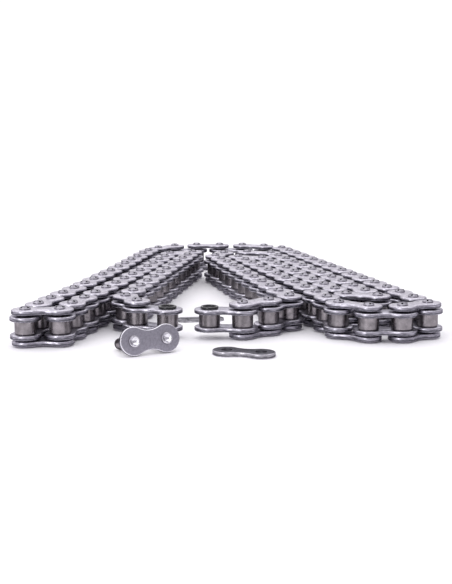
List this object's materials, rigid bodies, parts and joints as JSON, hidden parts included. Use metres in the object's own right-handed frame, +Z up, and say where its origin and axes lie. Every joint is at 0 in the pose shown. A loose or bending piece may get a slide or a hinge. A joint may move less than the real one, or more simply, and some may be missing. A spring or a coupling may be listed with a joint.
{
  "type": "motorcycle chain",
  "caption": "Sealed motorcycle roller chain, opened and folded on its side, with swinging links, turning rollers, sealing rings and a loose connecting link, press-on plate and spring clip.",
  "frame": {"origin": "on the table under the middle of the whole layout's box", "axes": "+Z up along the pins, +X to the viewer's right, +Y away from the viewer along the rows"},
  "size_m": [0.2038, 0.285, 0.0181],
  "materials": {
    "inner_plate_steel": "tumbled satin",
    "outer_plate_steel": "tumbled satin",
    "pin_steel": "ground",
    "bush_steel": "satin",
    "roller_steel": "satin",
    "seal_rubber": "oiled",
    "dark_plate": "tumbled satin",
    "clip_steel": "spring steel"
  },
  "bodies": {
    "right_rows": {"right_rows_inner_plates": "inner_plate_steel", "right_rows_outer_plates": "outer_plate_steel", "right_rows_pins": "pin_steel", "right_rows_bushes": "bush_steel", "right_rows_rollers": "roller_steel", "right_rows_seals": "seal_rubber"},
    "back_link_10": {"back_link_10_outer": "outer_plate_steel", "back_link_10_seals": "seal_rubber"},
    "back_link_09": {"back_link_09_inner": "inner_plate_steel"},
    "back_link_09_roller_1": {"back_link_09_roller_1": "roller_steel"},
    "back_link_09_roller_2": {"back_link_09_roller_2": "roller_steel"},
    "back_link_08": {"back_link_08_outer": "outer_plate_steel", "back_link_08_seals": "seal_rubber"},
    "back_link_07": {"back_link_07_inner": "inner_plate_steel"},
    "back_link_07_roller_1": {"back_link_07_roller_1": "roller_steel"},
    "back_link_07_roller_2": {"back_link_07_roller_2": "roller_steel"},
    "back_link_06": {"back_link_06_outer": "outer_plate_steel", "back_link_06_seals": "seal_rubber"},
    "back_link_05": {"back_link_05_inner": "inner_plate_steel"},
    "back_link_05_roller_1": {"back_link_05_roller_1": "roller_steel"},
    "back_link_05_roller_2": {"back_link_05_roller_2": "roller_steel"},
    "back_link_04": {"back_link_04_outer": "outer_plate_steel", "back_link_04_seals": "seal_rubber"},
    "back_link_03": {"back_link_03_inner": "inner_plate_steel"},
    "back_link_03_roller_1": {"back_link_03_roller_1": "roller_steel"},
    "back_link_03_roller_2": {"back_link_03_roller_2": "roller_steel"},
    "back_link_02": {"back_link_02_outer": "outer_plate_steel", "back_link_02_seals": "seal_rubber"},
    "back_link_01": {"back_link_01_inner": "inner_plate_steel"},
    "back_link_01_roller_1": {"back_link_01_roller_1": "roller_steel"},
    "back_link_01_roller_2": {"back_link_01_roller_2": "roller_steel"},
    "left_rows": {"left_rows_inner_plates": "inner_plate_steel", "left_rows_outer_plates": "outer_plate_steel", "left_rows_pins": "pin_steel", "left_rows_bushes": "bush_steel", "left_rows_rollers": "roller_steel", "left_rows_seals": "seal_rubber"},
    "left_end_outer_link": {"left_end_outer_link": "outer_plate_steel", "left_end_outer_seals": "seal_rubber"},
    "left_end_inner_link": {"left_end_inner_plates": "inner_plate_steel", "left_end_bushes": "bush_steel"},
    "left_end_roller_1": {"left_end_roller_1": "roller_steel"},
    "left_end_roller_2": {"left_end_roller_2": "roller_steel"},
    "left_end_loose_seal": {"left_end_loose_seal": "seal_rubber"},
    "right_end_inner_link": {"right_end_inner_link": "inner_plate_steel"},
    "right_end_inner_link_roller_1": {"right_end_inner_link_roller_1": "roller_steel"},
    "right_end_inner_link_roller_2": {"right_end_inner_link_roller_2": "roller_steel"},
    "right_end_outer_link": {"right_end_outer_link": "outer_plate_steel", "right_end_outer_seals": "seal_rubber"},
    "right_end_last_link": {"right_end_inner_plates": "inner_plate_steel", "right_end_bushes": "bush_steel"},
    "right_end_roller_1": {"right_end_roller_1": "roller_steel"},
    "right_end_roller_2": {"right_end_roller_2": "roller_steel"},
    "right_end_loose_seal": {"right_end_loose_seal": "seal_rubber"},
    "connecting_link": {"connecting_plate": "outer_plate_steel", "connecting_pins": "pin_steel", "connecting_seals": "seal_rubber"},
    "press_plate": {"press_plate": "dark_plate"},
    "spring_clip": {"spring_clip": "clip_steel"}
  },
  "joints": [
    {"name": "back_link_10_swing", "type": "hinge", "parent": "right_rows", "child": "back_link_10", "pos_m": [0.03946, 0.1034, 0.00907], "axis": [0, 0, -1], "range_deg": [0, 10]},
    {"name": "back_link_09_swing", "type": "hinge", "parent": "back_link_10", "child": "back_link_09", "pos_m": [0.03521, 0.11869, 0.00907], "axis": [0, 0, -1], "range_deg": [0, 20]},
    {"name": "back_link_09_roller_1_spin", "type": "hinge", "parent": "back_link_09", "child": "back_link_09_roller_1", "pos_m": [0.0236, 0.12952, 0.00907], "axis": [0, 0, 1], "continuous": true},
    {"name": "back_link_09_roller_2_spin", "type": "hinge", "parent": "back_link_09", "child": "back_link_09_roller_2", "pos_m": [0.03521, 0.11869, 0.00907], "axis": [0, 0, 1], "continuous": true},
    {"name": "back_link_08_swing", "type": "hinge", "parent": "back_link_09", "child": "back_link_08", "pos_m": [0.0236, 0.12952, 0.00907], "axis": [0, 0, -1], "range_deg": [0, 20]},
    {"name": "back_link_07_swing", "type": "hinge", "parent": "back_link_08", "child": "back_link_07", "pos_m": [0.00869, 0.13495, 0.00907], "axis": [0, 0, -1], "range_deg": [0, 20]},
    {"name": "back_link_07_roller_1_spin", "type": "hinge", "parent": "back_link_07", "child": "back_link_07_roller_1", "pos_m": [-0.00719, 0.13523, 0.00907], "axis": [0, 0, 1], "continuous": true},
    {"name": "back_link_07_roller_2_spin", "type": "hinge", "parent": "back_link_07", "child": "back_link_07_roller_2", "pos_m": [0.00869, 0.13495, 0.00907], "axis": [0, 0, 1], "continuous": true},
    {"name": "back_link_06_swing", "type": "hinge", "parent": "back_link_07", "child": "back_link_06", "pos_m": [-0.00719, 0.13523, 0.00907], "axis": [0, 0, -1], "range_deg": [0, 20]},
    {"name": "back_link_05_swing", "type": "hinge", "parent": "back_link_06", "child": "back_link_05", "pos_m": [-0.02306, 0.13523, 0.00907], "axis": [0, 0, -1], "range_deg": [0, 20]},
    {"name": "back_link_05_roller_1_spin", "type": "hinge", "parent": "back_link_05", "child": "back_link_05_roller_1", "pos_m": [-0.03807, 0.13006, 0.00907], "axis": [0, 0, 1], "continuous": true},
    {"name": "back_link_05_roller_2_spin", "type": "hinge", "parent": "back_link_05", "child": "back_link_05_roller_2", "pos_m": [-0.02306, 0.13523, 0.00907], "axis": [0, 0, 1], "continuous": true},
    {"name": "back_link_04_swing", "type": "hinge", "parent": "back_link_05", "child": "back_link_04", "pos_m": [-0.03807, 0.13006, 0.00907], "axis": [0, 0, -1], "range_deg": [0, 20]},
    {"name": "back_link_03_swing", "type": "hinge", "parent": "back_link_04", "child": "back_link_03", "pos_m": [-0.04869, 0.11826, 0.00907], "axis": [0, 0, -1], "range_deg": [0, 20]},
    {"name": "back_link_03_roller_1_spin", "type": "hinge", "parent": "back_link_03", "child": "back_link_03_roller_1", "pos_m": [-0.05412, 0.10334, 0.00907], "axis": [0, 0, 1], "continuous": true},
    {"name": "back_link_03_roller_2_spin", "type": "hinge", "parent": "back_link_03", "child": "back_link_03_roller_2", "pos_m": [-0.04869, 0.11826, 0.00907], "axis": [0, 0, 1], "continuous": true},
    {"name": "back_link_02_swing", "type": "hinge", "parent": "back_link_03", "child": "back_link_02", "pos_m": [-0.05412, 0.10334, 0.00907], "axis": [0, 0, -1], "range_deg": [0, 20]},
    {"name": "back_link_01_swing", "type": "hinge", "parent": "back_link_02", "child": "back_link_01", "pos_m": [-0.05647, 0.08764, 0.00907], "axis": [0, 0, -1], "range_deg": [0, 20]},
    {"name": "back_link_01_roller_1_spin", "type": "hinge", "parent": "back_link_01", "child": "back_link_01_roller_1", "pos_m": [-0.05882, 0.07194, 0.00907], "axis": [0, 0, 1], "continuous": true},
    {"name": "back_link_01_roller_2_spin", "type": "hinge", "parent": "back_link_01", "child": "back_link_01_roller_2", "pos_m": [-0.05647, 0.08764, 0.00907], "axis": [0, 0, 1], "continuous": true},
    {"name": "left_rows_swing", "type": "hinge", "parent": "back_link_01", "child": "left_rows", "pos_m": [-0.05882, 0.07194, 0.00907], "axis": [0, 0, -1], "range_deg": [0, 10]},
    {"name": "left_end_outer_swing", "type": "hinge", "parent": "left_rows", "child": "left_end_outer_link", "pos_m": [-0.052, -0.0764, 0.00907], "axis": [0, 0, 1], "range_deg": [-50, 6]},
    {"name": "left_end_inner_swing", "type": "hinge", "parent": "left_end_outer_link", "child": "left_end_inner_link", "pos_m": [-0.04504, -0.09067, 0.00907], "axis": [0, 0, -1], "range_deg": [-50, 50]},
    {"name": "left_end_roller_1_spin", "type": "hinge", "parent": "left_end_inner_link", "child": "left_end_roller_1", "pos_m": [-0.04504, -0.09067, 0.00907], "axis": [0, 0, 1], "continuous": true},
    {"name": "left_end_roller_2_spin", "type": "hinge", "parent": "left_end_inner_link", "child": "left_end_roller_2", "pos_m": [-0.03003, -0.09584, 0.00907], "axis": [0, 0, 1], "continuous": true},
    {"name": "left_end_loose_seal_lift", "type": "slide", "parent": "left_end_inner_link", "child": "left_end_loose_seal", "axis": [0, 0, 1], "range_m": [0, 0.02]},
    {"name": "right_end_inner_link_swing", "type": "hinge", "parent": "right_rows", "child": "right_end_inner_link", "pos_m": [0.02939, -0.07632, 0.00907], "axis": [0, 0, 1], "range_deg": [-40, 50]},
    {"name": "right_end_inner_link_roller_1_spin", "type": "hinge", "parent": "right_end_inner_link", "child": "right_end_inner_link_roller_1", "pos_m": [0.02939, -0.07632, 0.00907], "axis": [0, 0, 1], "continuous": true},
    {"name": "right_end_inner_link_roller_2_spin", "type": "hinge", "parent": "right_end_inner_link", "child": "right_end_inner_link_roller_2", "pos_m": [0.01877, -0.08811, 0.00907], "axis": [0, 0, 1], "continuous": true},
    {"name": "right_end_outer_swing", "type": "hinge", "parent": "right_end_inner_link", "child": "right_end_outer_link", "pos_m": [0.01877, -0.08811, 0.00907], "axis": [0, 0, -1], "range_deg": [-50, 50]},
    {"name": "right_end_last_swing", "type": "hinge", "parent": "right_end_outer_link", "child": "right_end_last_link", "pos_m": [0.00593, -0.09745, 0.00907], "axis": [0, 0, 1], "range_deg": [-50, 50]},
    {"name": "right_end_roller_1_spin", "type": "hinge", "parent": "right_end_last_link", "child": "right_end_roller_1", "pos_m": [0.00593, -0.09745, 0.00907], "axis": [0, 0, 1], "continuous": true},
    {"name": "right_end_roller_2_spin", "type": "hinge", "parent": "right_end_last_link", "child": "right_end_roller_2", "pos_m": [-0.00991, -0.09634, 0.00907], "axis": [0, 0, 1], "continuous": true},
    {"name": "right_end_loose_seal_lift", "type": "slide", "parent": "right_end_last_link", "child": "right_end_loose_seal", "axis": [0, 0, 1], "range_m": [0, 0.02]},
    {"name": "connecting_link_lift", "type": "slide", "parent": "right_rows", "child": "connecting_link", "axis": [0, 0, 1], "range_m": [0, 0.04]},
    {"name": "press_plate_lift", "type": "slide", "parent": "right_rows", "child": "press_plate", "axis": [0, 0, 1], "range_m": [0, 0.04]},
    {"name": "spring_clip_lift", "type": "slide", "parent": "right_rows", "child": "spring_clip", "axis": [0, 0, 1], "range_m": [0, 0.04]}
  ]
}
